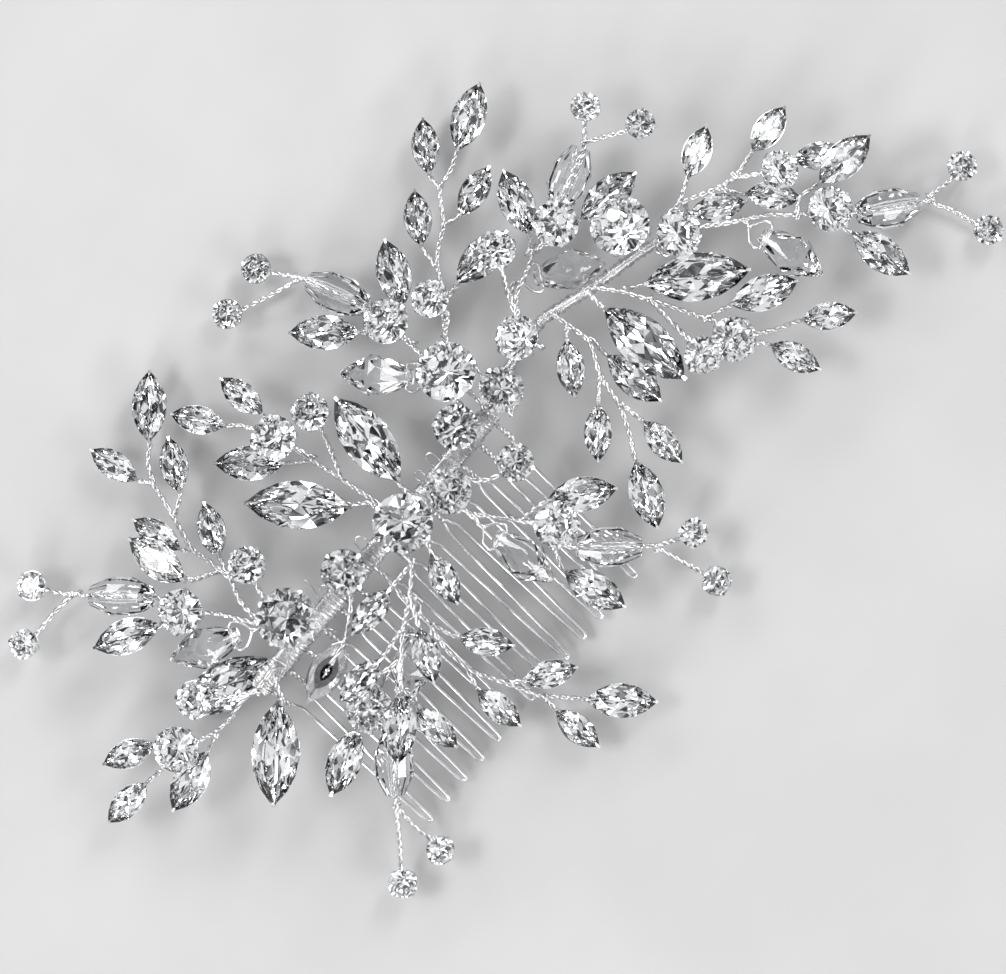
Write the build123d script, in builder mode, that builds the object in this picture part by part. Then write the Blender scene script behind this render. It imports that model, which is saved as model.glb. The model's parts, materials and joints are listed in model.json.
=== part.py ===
from build123d import *

import math
import os

# Decorative hair comb: a wrapped rail with hairpin teeth carries sprays of crystals on twisted wire.
# Millimetres. +X runs along the rail, the teeth point to -Y and +Z is the ornament's face.
# The origin is the middle of the rail's bar.

# Comb
neck_count = 14
neck_pitch = 3.75
rail_overhang = 1.1
rail_width = 2.4
rail_height = 1.0
rail_corner = 0.3
wrap_wire = 0.5
wrap_clearance = 0.02
neck_diameter = 0.85
neck_reach = 4.7
neck_drop = 1.4
neck_root_gap = 0.2
tooth_wire = 0.55
tooth_reach = 30.5
tooth_drop = 6.7
tooth_lean = 1.8
tooth_tip_gap = 0.95
leg_offset = 0.29
leg_lead = 0.45
leg_splay = 0.85
shoulder_reach = 1.5
shoulder_drop = 0.6
# Bends between the shoulder and the tip, as shares of the way along and of the way down
tooth_bends = [(0.28, 0.23), (0.63, 0.53)]
# The wire wrap is left off this stretch of the bar, apart from two bands
bare_start = 8.0
bare_end = 16.0
wrap_bands = [(10.0, 11.2), (12.6, 14.2)]

# Spine that carries the ornament past the comb's end
spine_core = 1.0
spine_axis_height = 0.1
spine_route = [(26.0, 0.9), (33.0, 2.5), (40.0, 3.0), (47.5, 0.5), (56.0, -1.5), (63.5, -4.5)]

# Twigs of two twisted strands, drawn as the round rod that holds both strands
twig_diameter = 0.66
twig_gap = 0.01
bend_run = 1.2
twig_hold = 0.3

# Outline sizes of the crystals
large_navette = (15.0, 7.0)
medium_navette = (10.0, 5.0)
small_navette = (8.0, 4.0)
big_round = 8.5
mid_round = 6.4
small_round = 5.3
tip_round = 4.1
round_sides = 16
navette_side_steps = 7

# Proportions of a crystal, as shares of its width
girdle_share = 0.05
crown_share = 0.2
table_share = 0.58
pavilion_share = 0.4
culet_share = 0.16

# Settings of thin sheet
sheet = 0.2
setting_overhang = 0.12
setting_tip_growth = 1.3
setting_rim_drop = 0.3
setting_taper = 16.0
claw_width = 0.7
claw_thickness = 0.27
claw_clearance = 0.03
claw_rise = 0.3
claw_hold = 0.5

# Barrel beads that turn on their twig
bead_length = 9.0
bead_diameter = 5.6
bead_band = 3.0
bead_end_diameter = 3.0
bead_sides = 12
bead_bore_clearance = 0.17
bead_lead = 1.3

# Drop beads that swing on a wire loop
drop_length = 10.3
drop_diameter = 6.0
drop_widest = 5.2
drop_top_diameter = 2.4
drop_end_diameter = 0.8
drop_hole_inset = 1.0
drop_hole_clearance = 0.28
drop_sides = 8
loop_wire = 0.44
loop_side_gap = 0.3
loop_reach = 2.9
loop_shoulder = 1.5
loop_mouth = 0.5
stem_length = 1.5
stem_gap = 0.1

# The sprays lie level over the rail and spine, and fall away evenly outside that strip
fall = 8.0
fall_start = 6.0
fall_length = 33.0
backbone_start = (-22.0, 0.0)
backbone_end = (62.0, -3.0)

rail_length = (neck_count - 1) * neck_pitch + 2 * rail_overhang
wrap_top = rail_height / 2 + wrap_wire
twig_level = wrap_top + twig_diameter / 2 + twig_gap
spine_wrap_radius = wrap_top - spine_axis_height

os.makedirs("parts", exist_ok=True)


def save(solid_or_compound, node):
    solid_or_compound.label = node
    export_step(solid_or_compound, f"parts/{node}.step")


def bend_radii(points):
    """Arc radius at each inner point, so that no arc takes up more than bend_run of a run."""
    corners = [Vector(*point) for point in points]
    radii = []
    for before, here, after in zip(corners, corners[1:], corners[2:]):
        turn = (here - before).get_angle(after - here)
        shorter = min((here - before).length, (after - here).length)
        radii.append(min(0.45 * shorter, bend_run) / math.tan(math.radians(turn / 2)))
    return radii


def without_straight_points(points, least_turn=2.0):
    """The route without inner points that hardly turn it, because they have no arc."""
    kept = [points[0]]
    for here, after in zip(points[1:], points[2:]):
        if (Vector(*here) - Vector(*kept[-1])).get_angle(Vector(*after) - Vector(*here)) > least_turn:
            kept.append(here)
    return kept + [points[-1]]


def rod(points, diameter, bore=0.0):
    """A round wire, or a sleeve round one, along straight runs joined by arcs."""
    points = without_straight_points(points)
    with BuildPart() as wire:
        with BuildLine() as route:
            if len(points) == 2:
                Line(*points)
            else:
                FilletPolyline(*points, radius=bend_radii(points))
        with BuildSketch(Plane(origin=route.line @ 0, z_dir=route.line % 0)):
            Circle(diameter / 2)
            if bore:
                Circle(bore / 2, mode=Mode.SUBTRACT)
        sweep()
    return wire.part


# ---------------------------------------------------------------- comb


def neck_x(index):
    return (neck_count - 1) * neck_pitch / 2 - index * neck_pitch


with BuildPart() as rail:
    with BuildSketch(Plane.YZ.offset(-rail_length / 2)):
        RectangleRounded(rail_width, rail_height, rail_corner)
    extrude(amount=rail_length)
save(rail.part, "rail_bar")

wrap_spans = [(-rail_length / 2, bare_start), *wrap_bands, (bare_end, rail_length / 2)]
with BuildPart() as rail_wrap:
    for span_start, span_end in wrap_spans:
        with BuildSketch(Plane.YZ.offset(span_start)):
            RectangleRounded(rail_width + 2 * wrap_wire, rail_height + 2 * wrap_wire, rail_corner + wrap_wire)
            RectangleRounded(
                rail_width + 2 * wrap_clearance,
                rail_height + 2 * wrap_clearance,
                rail_corner,
                mode=Mode.SUBTRACT,
            )
        extrude(amount=span_end - span_start)
save(rail_wrap.part, "rail_wrap")

neck_start = rail_width / 2 + wrap_wire
necks = []
for neck in range(neck_count):
    top = (neck_x(neck), -neck_start - neck_root_gap, 0)
    corner = (neck_x(neck), -neck_reach, -neck_drop)
    necks.append(rod([top, corner], neck_diameter))
save(Compound(children=necks), "neck_twists")


def tooth(index):
    """A hairpin between two necks: its legs leave the twists, splay, and run down to a closed tip."""
    tip_x = neck_x(index) - neck_pitch / 2 - tooth_lean
    neck_run = Vector(0, -neck_reach + neck_start + neck_root_gap, -neck_drop).normalized()
    legs = []
    for side, neck_axis in ((1, neck_x(index)), (-1, neck_x(index + 1))):
        start = Vector(neck_axis - side * leg_offset, -neck_reach, -neck_drop)
        shoulder = Vector(
            neck_axis - side * leg_splay,
            -neck_reach - shoulder_reach,
            -neck_drop - shoulder_drop,
        )
        foot = Vector(tip_x + side * tooth_tip_gap / 2, -tooth_reach, -tooth_drop)
        way = foot - shoulder
        bends = [shoulder + Vector(way.X * along, way.Y * along, way.Z * down) for along, down in tooth_bends]
        legs.append([tuple(point) for point in (start, start + leg_lead * neck_run, shoulder, *bends, foot)])
    return rod(legs[0] + legs[1][::-1], tooth_wire)


save(Compound(children=[tooth(index) for index in range(neck_count - 1)]), "comb_teeth")

spine_points = [(x, y, spine_axis_height) for x, y in spine_route]
save(rod(spine_points, spine_core), "spine_core")
spine_sleeve = rod(spine_points, 2 * spine_wrap_radius, spine_core + 2 * wrap_clearance)
save(spine_sleeve, "spine_wrap")

# ---------------------------------------------------------------- crystals and settings


def navette_points(length, width):
    """Corners of the pointed oval, on the two arcs that meet at its tips."""
    radius = (length**2 + width**2) / (4 * width)
    half_angle = math.asin(length / (2 * radius))
    angles = [half_angle * (2 * step / navette_side_steps - 1) for step in range(navette_side_steps)]
    upper = [(radius * math.sin(a), width / 2 - radius + radius * math.cos(a)) for a in angles]
    return upper + [(-x, -y) for x, y in upper]


def outline(shape, grow=0.0):
    """Draws the girdle outline of a navette (length, width) or a round (diameter) in a sketch."""
    if isinstance(shape, tuple):
        Polygon(*navette_points(shape[0] + 2 * setting_tip_growth * grow, shape[1] + 2 * grow), align=None)
    else:
        RegularPolygon(shape / 2 + grow, round_sides, rotation=180 / round_sides)


def width_of(shape):
    return shape[1] if isinstance(shape, tuple) else shape


def length_of(shape):
    return shape[0] if isinstance(shape, tuple) else shape


def setting_depth(shape):
    """From the girdle plane down to the underside of the setting."""
    return (pavilion_share + girdle_share / 2) * width_of(shape) + sheet


def cut_crystal(shape):
    """A crystal with its girdle at z = 0: crown and table above, pavilion below."""
    width = width_of(shape)
    half_girdle = girdle_share * width / 2
    crown_inset = (1 - table_share) * width / 2
    pavilion_inset = (1 - culet_share) * width / 2
    crown_taper = math.degrees(math.atan2(crown_inset, crown_share * width))
    pavilion_taper = math.degrees(math.atan2(pavilion_inset, pavilion_share * width))
    with BuildPart() as stone:
        with BuildSketch(Plane.XY.offset(-half_girdle)):
            outline(shape)
        extrude(amount=2 * half_girdle)
        with BuildSketch(Plane.XY.offset(half_girdle)):
            outline(shape)
        extrude(amount=crown_share * width, taper=crown_taper)
        with BuildSketch(Plane.XY.offset(-half_girdle)):
            outline(shape)
        extrude(amount=-pavilion_share * width, taper=pavilion_taper)
    return stone.part


def sheet_setting(shape):
    """A tapered cup of thin sheet under the girdle, with claws that stand past it."""
    depth = setting_depth(shape)
    rim = -girdle_share * width_of(shape) / 2 - setting_rim_drop
    reach = length_of(shape) / 2 + claw_clearance + claw_thickness / 2
    side = width_of(shape) / 2 + claw_clearance + claw_thickness / 2
    claw_height = claw_rise - rim + claw_hold
    claws = [(reach, 0, 0), (-reach, 0, 0)]
    if not isinstance(shape, tuple):
        claws += [(0, side, 90), (0, -side, 90)]
    with BuildPart() as cup:
        with BuildSketch(Plane.XY.offset(rim)):
            outline(shape, grow=setting_overhang)
        extrude(amount=-(depth + rim), taper=setting_taper)
        with BuildSketch(Plane.XY.offset(rim)):
            outline(shape, grow=setting_overhang - sheet)
        extrude(amount=-(depth + rim - sheet), taper=setting_taper, mode=Mode.SUBTRACT)
        for x, y, turn in claws:
            with Locations(Location((x, y, claw_rise - claw_height / 2), (0, 0, turn))):
                Box(claw_thickness, claw_width, claw_height)
    return cup.part


SHAPES = {
    "large": large_navette,
    "medium": medium_navette,
    "small": small_navette,
    "big_round": big_round,
    "mid_round": mid_round,
    "small_round": small_round,
    "tip_round": tip_round,
}
CRYSTALS = {size: cut_crystal(shape) for size, shape in SHAPES.items()}
SETTINGS = {size: sheet_setting(shape) for size, shape in SHAPES.items()}


def cut_bead():
    """A faceted barrel along Z with flat ends, bored for its twig."""
    taper_length = (bead_length - bead_band) / 2
    taper = math.degrees(math.atan2((bead_diameter - bead_end_diameter) / 2, taper_length))
    with BuildPart() as barrel:
        with BuildSketch(Plane.XY.offset(-bead_band / 2)):
            RegularPolygon(bead_diameter / 2, bead_sides)
        extrude(amount=bead_band)
        with BuildSketch(Plane.XY.offset(bead_band / 2)):
            RegularPolygon(bead_diameter / 2, bead_sides)
        extrude(amount=taper_length, taper=taper)
        with BuildSketch(Plane.XY.offset(-bead_band / 2)):
            RegularPolygon(bead_diameter / 2, bead_sides)
        extrude(amount=-taper_length, taper=taper)
        Cylinder(twig_diameter / 2 + bead_bore_clearance, 2 * bead_length, mode=Mode.SUBTRACT)
    return barrel.part


def cut_drop():
    """A faceted drop along +X, drilled across its narrow end at the origin."""
    narrow_length = drop_widest
    far_length = drop_length - drop_widest
    narrow_taper = math.degrees(math.atan2((drop_diameter - drop_top_diameter) / 2, narrow_length))
    far_taper = math.degrees(math.atan2((drop_diameter - drop_end_diameter) / 2, far_length))
    widest = Plane.YZ.offset(drop_widest - drop_hole_inset)
    with BuildPart() as bead:
        with BuildSketch(widest):
            RegularPolygon(drop_diameter / 2, drop_sides)
        extrude(amount=far_length, taper=far_taper)
        with BuildSketch(widest):
            RegularPolygon(drop_diameter / 2, drop_sides)
        extrude(amount=-narrow_length, taper=narrow_taper)
        with Locations(Location((0, 0, 0), (90, 0, 0))):
            Cylinder(loop_wire / 2 + drop_hole_clearance, drop_diameter, mode=Mode.SUBTRACT)
    return bead.part


def drop_side():
    """Half width of the drop beside its drilled hole."""
    widening = (drop_diameter - drop_top_diameter) / 2 / drop_widest
    return drop_top_diameter / 2 + widening * drop_hole_inset


BEAD = cut_bead()
DROP = cut_drop()

# ---------------------------------------------------------------- sprays


def lie(x, y, lift=0.0):
    """The point where a twig lies over (x, y): level over the backbone, falling away outside it."""
    ax, ay = backbone_start
    bx, by = backbone_end
    along = ((x - ax) * (bx - ax) + (y - ay) * (by - ay)) / ((bx - ax) ** 2 + (by - ay) ** 2)
    along = min(1.0, max(0.0, along))
    away = math.dist((x, y), (ax + along * (bx - ax), ay + along * (by - ay)))
    share = min(1.0, max(0.0, (away - fall_start) / fall_length))
    return (x, y, twig_level - fall * share + lift)


drop_loops = []


class Spray:
    """One spray: its twigs, and the crystals, settings and beads that they carry."""

    def __init__(self, name):
        self.name = name
        self.twigs = []
        self.crystals = []
        self.settings = []

    def twig(self, *route):
        """Adds a twig through points given as (x, y) or (x, y, lift)."""
        self.add_twig(rod([lie(*point) for point in route], twig_diameter))

    def add_twig(self, piece):
        """Where a twig leaves an earlier one, it is cut to that twig's surface."""
        for earlier in self.twigs:
            if piece.bounding_box().overlaps(earlier.bounding_box()):
                piece = piece - earlier
        self.twigs.append(piece.solids().sort_by(SortBy.VOLUME)[-1])

    def stone(self, size, x, y, heading, via, nod=0.0, roll=0.0, lift=0.0, face_down=False):
        """A set crystal whose inner end is reached by a twig along via and under the setting."""
        shape = SHAPES[size]
        half = length_of(shape) / 2
        step = (half * math.cos(math.radians(heading)), half * math.sin(math.radians(heading)))
        outer = lie(x + step[0], y + step[1])
        inner = lie(x - step[0], y - step[1])
        slope = math.degrees(math.atan2(outer[2] - inner[2], 2 * half)) + nod
        level = (outer[2] + inner[2]) / 2 + lift
        under = setting_depth(shape) + twig_gap + twig_diameter / 2
        rise = -under if face_down else under
        turn_over = 180 if face_down else 0
        tilt = Location((0, 0, 0), (0, -slope, 0)) * Location((0, 0, 0), (roll + turn_over, 0, 0))
        seat = Location((x, y, level + rise), (0, 0, heading)) * tilt
        self.crystals.append(seat * CRYSTALS[size])
        self.settings.append(seat * SETTINGS[size])
        plane = Plane(seat)
        ends = [plane.from_local_coords((share * half, 0, -under)) for share in (-1.0, -twig_hold)]
        route = [lie(*point) for point in via] + [tuple(end) for end in ends]
        self.add_twig(rod(route, twig_diameter))

    def bead(self, start, end, via, then):
        """A barrel bead between two points, with the twig that it turns on running straight through."""
        inner, outer = Vector(*lie(*start)), Vector(*lie(*end))
        axis = (outer - inner).normalized()
        centre = (inner + outer) / 2
        straight = bead_length / 2 + bead_lead
        route = [lie(*point) for point in via]
        route += [tuple(centre - axis * straight), tuple(centre + axis * straight)]
        route += [lie(*point) for point in then]
        self.add_twig(rod(route, twig_diameter))
        save(Plane(origin=centre, z_dir=axis).location * BEAD, f"{self.name}_barrel_bead")

    def drop(self, x, y, heading, via, nod=0.0, lift=0.0):
        """A drop bead whose drilled hole is at (x, y), with the wire loop that it swings on."""
        seat = Location(lie(x, y, lift), (0, 0, heading)) * Location((0, 0, 0), (0, -nod, 0))
        plane = Plane(seat)
        side = drop_side() + loop_side_gap + loop_wire / 2
        half_loop = [(-loop_reach, loop_mouth / 2, 0), (-loop_shoulder, side, 0), (0, side, 0)]
        corners = half_loop + [(x, -y, z) for x, y, z in half_loop[::-1]]
        drop_loops.append(rod([tuple(plane.from_local_coords(corner)) for corner in corners], loop_wire))
        stem_end = plane.from_local_coords((-loop_reach - stem_gap, 0, 0))
        stem_start = plane.from_local_coords((-loop_reach - stem_gap - stem_length, 0, 0))
        route = [lie(*point) for point in via] + [tuple(stem_start), tuple(stem_end)]
        self.add_twig(rod(route, twig_diameter))
        save(seat * DROP, f"{self.name}_drop_bead")

    def export(self):
        save(Compound(children=self.twigs), f"{self.name}_twigs")
        save(Compound(children=self.crystals), f"{self.name}_crystals")
        save(Compound(children=self.settings), f"{self.name}_settings")


# Crystals lashed to the rail and spine
backbone = Spray("backbone")
backbone.stone("big_round", -15.0, 3.5, 90, via=[(-15.0, -1.2)], lift=0.4)
backbone.stone("mid_round", -5.0, 1.5, 75, via=[(-5.6, -1.9)], lift=0.1)
backbone.stone("big_round", 5.5, -0.5, 65, via=[(3.3, -1.4)], nod=8, lift=1.3)
backbone.stone("mid_round", 13.0, -2.5, 100, via=[(13.4, -1.4)], lift=0.5)
backbone.stone("mid_round", 20.5, 2.5, 70, via=[(19.4, -1.2)], nod=-6, lift=0.4)
backbone.stone("big_round", 25.5, 8.5, 90, via=[(24.9, 0.2)], lift=0.5)
backbone.stone("mid_round", 28.5, 1.0, 60, via=[(26.8, -2.2)], roll=-4)
backbone.stone("mid_round", 35.5, 4.0, 110, via=[(36.6, 0.6)], nod=-18, lift=1.0)
backbone.stone("big_round", 56.5, 3.0, 85, via=[(56.2, -1.6)], nod=-14, lift=1.2)
backbone.stone("mid_round", 61.0, -4.0, 30, via=[(57.4, -3.0)], nod=-4, roll=12, lift=1.4)
backbone.export()

# Left spray: long, with a forked end
left = Spray("left")
left.twig((-17.8, 1.4), (-18.0, 7.0), (-17.5, 10.5), (-16.0, 13.0), (-16.2, 17.0), (-16.5, 20.0),
          (-15.0, 24.0), (-14.0, 27.0), (-13.0, 30.5))
left.stone("medium", -5.0, 37.5, 40, via=[(-13.0, 30.5), (-11.0, 33.0)])
left.stone("small", -14.5, 36.0, 97, via=[(-13.0, 30.5)])
left.stone("small", -9.0, 29.5, 52, via=[(-14.7, 24.8)])
left.stone("small", -18.0, 25.0, 98, via=[(-16.5, 20.0)])
left.stone("medium", -20.5, 22.5, 93, via=[(-16.2, 15.0), (-18.4, 16.2, 1.4)], lift=3.0, roll=-8)
left.stone("small", -12.5, 19.5, 55, via=[(-16.0, 13.0)])
left.stone("small_round", -13.0, 12.5, 62, via=[(-15.5, 6.0), (-14.6, 9.3)])
left.stone("mid_round", -24.0, 15.4, 128, via=[(-18.3, 6.2), (-20.8, 11.0)])
left.bead((-25.2, 19.8), (-30.7, 26.7), via=[(-24.2, 16.0), (-24.3, 17.6)], then=[(-32.0, 28.9)])
left.stone("tip_round", -35.0, 34.0, 115, via=[(-31.7, 28.2), (-33.0, 29.8)])
left.stone("tip_round", -42.0, 29.5, 172, via=[(-31.9, 28.6), (-35.5, 29.2)])
left.stone("medium", -31.5, 19.0, 150, via=[(-24.3, 17.7)], roll=6)
left.drop(-22.2, 7.6, 150, via=[(-17.9, 4.2)], nod=-6, lift=-1.4)
left.export()

# Lower left spray, beyond the comb's end
lower_left = Spray("lower_left")
lower_left.twig((-21.5, 0.4), (-25.5, 0.2, 0.1), (-28.0, 0.9), (-31.0, 0.4), (-34.0, 1.0))
lower_left.stone("small_round", -32.0, 6.0, 135, via=[(-25.5, 0.2), (-28.2, 1.8)], lift=0.6)
lower_left.stone("large", -30.5, -7.5, -143, via=[(-22.5, -0.6), (-23.4, -1.8)], roll=5)
lower_left.stone("large", -28.2, 4.0, 160, via=[(-19.4, -0.6, -2.7), (-20.0, 0.8, -4.8)], lift=-7.8)
lower_left.stone("mid_round", -39.0, 3.5, 150, via=[(-34.0, 1.0)], lift=1.5)
lower_left.stone("medium", -41.5, -0.8, -170, via=[(-34.0, 1.0)], lift=-2.2)
lower_left.stone("small", -44.0, 8.2, 152, via=[(-39.0, 4.4)])
lower_left.stone("small", -49.5, 4.0, 176, via=[(-41.0, 3.0)])
lower_left.export()

# Inner left spray, above the middle of the comb
inner_left = Spray("inner_left")
inner_left.twig((5.6, 1.6), (5.2, 5.5), (4.6, 10.3), (4.0, 15.0), (3.4, 19.0))
inner_left.stone("mid_round", 3.0, 21.0, 105, via=[(4.0, 15.0)], lift=2.2)
inner_left.stone("small", -2.0, 31.0, 118, via=[(3.1, 21.2), (1.2, 26.2)])
inner_left.stone("small", 4.5, 28.4, 90, via=[(3.4, 22.0)])
inner_left.stone("medium", -2.0, 21.5, 130, via=[(4.0, 15.0)], lift=-1.7)
inner_left.stone("small_round", 9.0, 19.5, 72, via=[(4.6, 10.3), (6.8, 14.0)])
inner_left.stone("large", -2.0, 12.4, 128, via=[(5.2, 4.4), (4.0, 5.6)], roll=-6)
inner_left.stone("large", 11.2, 10.8, 78, via=[(8.9, 0.6)], roll=6)
inner_left.export()

# Upper left spray, past the big crystal at the comb's end
upper_left = Spray("upper_left")
upper_left.twig((23.0, 1.4), (23.9, 8.0), (25.2, 13.0), (25.4, 17.5))
upper_left.stone("mid_round", 25.5, 19.5, 90, via=[(25.3, 14.4)], lift=1.6)
upper_left.stone("medium", 31.4, 23.1, 55, via=[(25.4, 16.8)], lift=-1.2)
upper_left.stone("medium", 18.8, 25.2, 130, via=[(25.0, 18.0)])
upper_left.bead((25.4, 23.1), (22.9, 31.8), via=[(25.4, 17.5), (25.6, 20.6)], then=[(22.4, 33.6)])
upper_left.stone("tip_round", 19.5, 38.5, 118, via=[(22.5, 33.2)])
upper_left.stone("tip_round", 12.0, 37.5, 150, via=[(22.6, 32.9), (17.5, 34.8)])
upper_left.drop(21.4, 12.4, 127, via=[(23.9, 8.0)], nod=-4)
upper_left.export()

# Tall spray, with leaves in pairs
tall = Spray("tall")
tall.twig((28.4, 3.6), (28.9, 11.5), (31.0, 13.5), (35.0, 17.5), (36.2, 19.2), (38.5, 20.9),
          (41.2, 22.0), (43.0, 24.2), (45.0, 26.2))
tall.stone("small_round", 31.9, 16.8, 95, via=[(29.3, 12.0)], lift=0.9)
tall.stone("small", 39.5, 25.5, 47, via=[(36.2, 19.2)])
tall.stone("small", 47.5, 21.8, 9, via=[(41.2, 22.0)])
tall.stone("small", 48.0, 31.2, 46, via=[(45.0, 26.2)])
tall.stone("medium", 55.0, 29.2, 22, via=[(45.0, 26.2), (47.6, 26.3)])
tall.stone("medium", 41.0, 15.0, -4, via=[(32.4, 14.9)])
tall.export()

# Upper middle spray, rooted beside the spine
upper_middle = Spray("upper_middle")
upper_middle.twig((36.4, 2.6), (38.5, 6.5), (40.0, 8.0), (44.0, 9.0), (46.5, 10.3))
upper_middle.stone("small_round", 43.0, 14.0, 55, via=[(38.0, 5.7), (39.6, 9.4)], lift=3.4)
upper_middle.stone("mid_round", 51.0, 10.0, 0, via=[(46.5, 10.3)], lift=2.2, nod=10)
upper_middle.stone("medium", 50.0, 16.2, 62, via=[(45.8, 10.0)])
upper_middle.bead((53.6, 11.5), (61.2, 14.1), via=[(46.5, 10.3), (49.0, 10.2)], then=[(63.1, 14.3)])
upper_middle.stone("tip_round", 66.5, 17.5, 38, via=[(62.6, 14.3)])
upper_middle.stone("tip_round", 69.5, 10.0, -25, via=[(62.8, 14.3), (65.3, 12.6)])
upper_middle.stone("medium", 59.0, 7.0, -10, via=[(46.5, 10.3), (51.0, 8.0)], lift=-3.0)
upper_middle.drop(44.4, 6.9, -37, via=[(38.4, 6.4)], nod=-12, lift=-1.8)
upper_middle.export()

# Upper right spray, from the spine's end
upper_right = Spray("upper_right")
upper_right.twig((61.6, -1.0), (64.5, -1.3), (69.5, -4.0), (73.0, -5.2))
upper_right.twig((63.2, -5.0), (66.6, -8.2), (71.4, -11.8), (73.8, -14.8))
upper_right.stone("small", 71.5, 1.4, 20, via=[(64.5, -1.3)])
upper_right.stone("small", 80.5, -4.2, 4, via=[(72.6, -5.0)])
upper_right.stone("small_round", 77.0, -9.0, -40, via=[(72.2, -4.9)], lift=1.6)
upper_right.stone("small", 67.6, -5.8, -38, via=[(65.0, -1.7), (64.7, -2.5, -2.4)], lift=-2.6)
upper_right.stone("small", 73.8, -10.6, -53, via=[(69.9, -4.1)], lift=-1.5)
upper_right.stone("small", 82.5, -12.0, -40, via=[(77.0, -9.0)], lift=-1.5)
upper_right.stone("mid_round", 77.5, -18.0, -40, via=[(73.8, -14.8)])
upper_right.stone("medium", 84.0, -15.0, -7, via=[(73.9, -14.9), (75.9, -13.4, 1.8)], lift=2.4)
upper_right.bead((79.8, -21.4), (86.7, -27.0), via=[(75.4, -16.2, -0.5), (77.6, -19.2, -0.6)],
                 then=[(88.5, -28.3)])
upper_right.stone("tip_round", 94.5, -28.4, 5, via=[(88.0, -27.9)])
upper_right.stone("tip_round", 90.0, -37.0, -80, via=[(88.2, -28.2), (89.2, -32.0)])
upper_right.stone("medium", 77.5, -27.5, -85, via=[(76.6, -19.4, -0.6)])
upper_right.drop(68.7, -13.8, -83, via=[(68.9, -10.0)], nod=-2)
upper_right.export()

# Right spray, under the spine's far half
right = Spray("right")
right.twig((47.8, 0.3), (50.0, -3.3), (51.6, -7.0), (53.2, -11.0), (54.6, -14.6))
right.stone("large", 46.3, -10.2, -91, via=[(46.8, 0.7)], lift=0.3)
right.stone("large", 58.2, -9.8, -42, via=[(50.0, -3.3)], lift=-2.4)
right.stone("small_round", 50.2, -17.4, -100, via=[(51.6, -7.0), (51.0, -11.0, 1.0)], lift=3.5)
right.stone("mid_round", 54.8, -19.3, -95, via=[(54.6, -14.6)])
right.stone("medium", 62.5, -18.4, -30, via=[(54.6, -14.6)])
right.stone("small", 66.0, -27.5, -42, via=[(56.4, -20.4), (60.0, -23.2)])
right.stone("small", 58.6, -27.6, -76, via=[(55.4, -20.6)])
right.export()

# Right lower spray, hanging past the comb's end
right_lower = Spray("right_lower")
right_lower.twig((41.2, 2.6), (41.8, -4.0), (38.8, -8.5), (37.6, -13.0))
right_lower.stone("small", 37.0, -4.5, -132, via=[(41.6, 0.0)])
right_lower.stone("medium", 41.8, -12.2, -90, via=[(41.8, -4.0)], lift=-3.6)
right_lower.stone("small", 32.6, -13.2, -140, via=[(38.8, -8.5)])
right_lower.stone("small", 37.5, -21.0, -97, via=[(37.6, -13.0)])
right_lower.stone("medium", 30.4, -24.0, -122, via=[(37.6, -13.0), (35.2, -17.0)])
right_lower.export()

# Spray over the open side of the teeth
comb_front = Spray("comb_front")
comb_front.twig((11.6, -1.3), (12.6, -7.0), (15.8, -12.0), (17.6, -15.0))
comb_front.stone("mid_round", 19.0, -17.0, -55, via=[(15.2, -11.0)], lift=3.2)
comb_front.stone("medium", 24.6, -17.0, -40, via=[(16.4, -13.0)], lift=-0.6)
comb_front.stone("medium", 15.6, -27.0, -80, via=[(17.4, -15.4), (16.2, -19.4)])
comb_front.bead((18.4, -21.2, 2.2), (24.4, -28.1, 2.4), via=[(17.4, -15.0), (17.2, -18.0, 1.2)],
                then=[(26.2, -30.2, 1.8)])
comb_front.stone("tip_round", 30.6, -32.6, -25, via=[(25.7, -29.6, 2.0)])
comb_front.stone("tip_round", 27.5, -39.5, -80, via=[(25.9, -29.9, 1.9), (26.6, -34.0, 0.8)])
comb_front.stone("small_round", 22.0, -7.0, -10, via=[(15.2, -1.3), (16.8, -5.0)])
comb_front.drop(12.4, -12.4, -88, via=[(12.6, -7.0)], nod=6, lift=1.6)
comb_front.export()

# Spray over the lower half of the teeth
lower = Spray("lower")
lower.twig((2.4, -1.3), (2.2, -5.0, 0.8), (-2.0, -8.0, 3.2), (-6.0, -10.0, 4.8), (-12.4, -15.0, 4.8))
lower.stone("small", -6.8, -5.0, 180, via=[(2.2, -5.0, 0.8)], lift=1.6)
lower.stone("small", 3.2, -9.9, -112, via=[(6.8, -1.3), (5.9, -4.4, 0.2)], lift=0.4)
lower.stone("small", -6.4, -14.8, -125, via=[(-2.0, -8.0, 3.2)], lift=5.4)
lower.stone("small", -15.0, -10.0, 176, via=[(-6.0, -10.0, 4.8)], lift=4.2)
lower.stone("medium", -16.6, -18.4, -143, via=[(-9.2, -12.4, 4.7)], lift=5.2)
lower.stone("medium", -17.2, -5.6, -172, via=[(-7.0, -1.4), (-9.6, -3.4)], lift=2.8, face_down=True)
lower.stone("mid_round", -17.7, -13.6, -170, via=[(-8.4, -11.8, 4.6), (-12.2, -12.2, 0.8)], lift=-1.8)
lower.stone("medium", -25.2, -15.6, -162, lift=2.8,
            via=[(-9.2, -12.4, 4.7), (-14.0, -11.2, 3.8), (-18.4, -11.8, 3.4)])
lower.stone("small", -13.4, -22.4, -94, via=[(-12.4, -15.0, 4.8), (-12.0, -17.6, 4.6)], lift=2.8)
lower.bead((-18.0, -18.2, 2.4), (-24.2, -23.8, 2.4), via=[(-12.4, -15.0, 4.8), (-15.2, -16.4, 4.2)],
           then=[(-26.0, -25.6, 1.8)])
lower.stone("tip_round", -33.5, -33.0, -132, via=[(-25.7, -25.2, 2.0), (-29.2, -28.8, 1.0)])
lower.stone("tip_round", -26.5, -34.0, -95, via=[(-25.8, -25.4, 1.9), (-26.3, -29.6, 0.8)])
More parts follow.
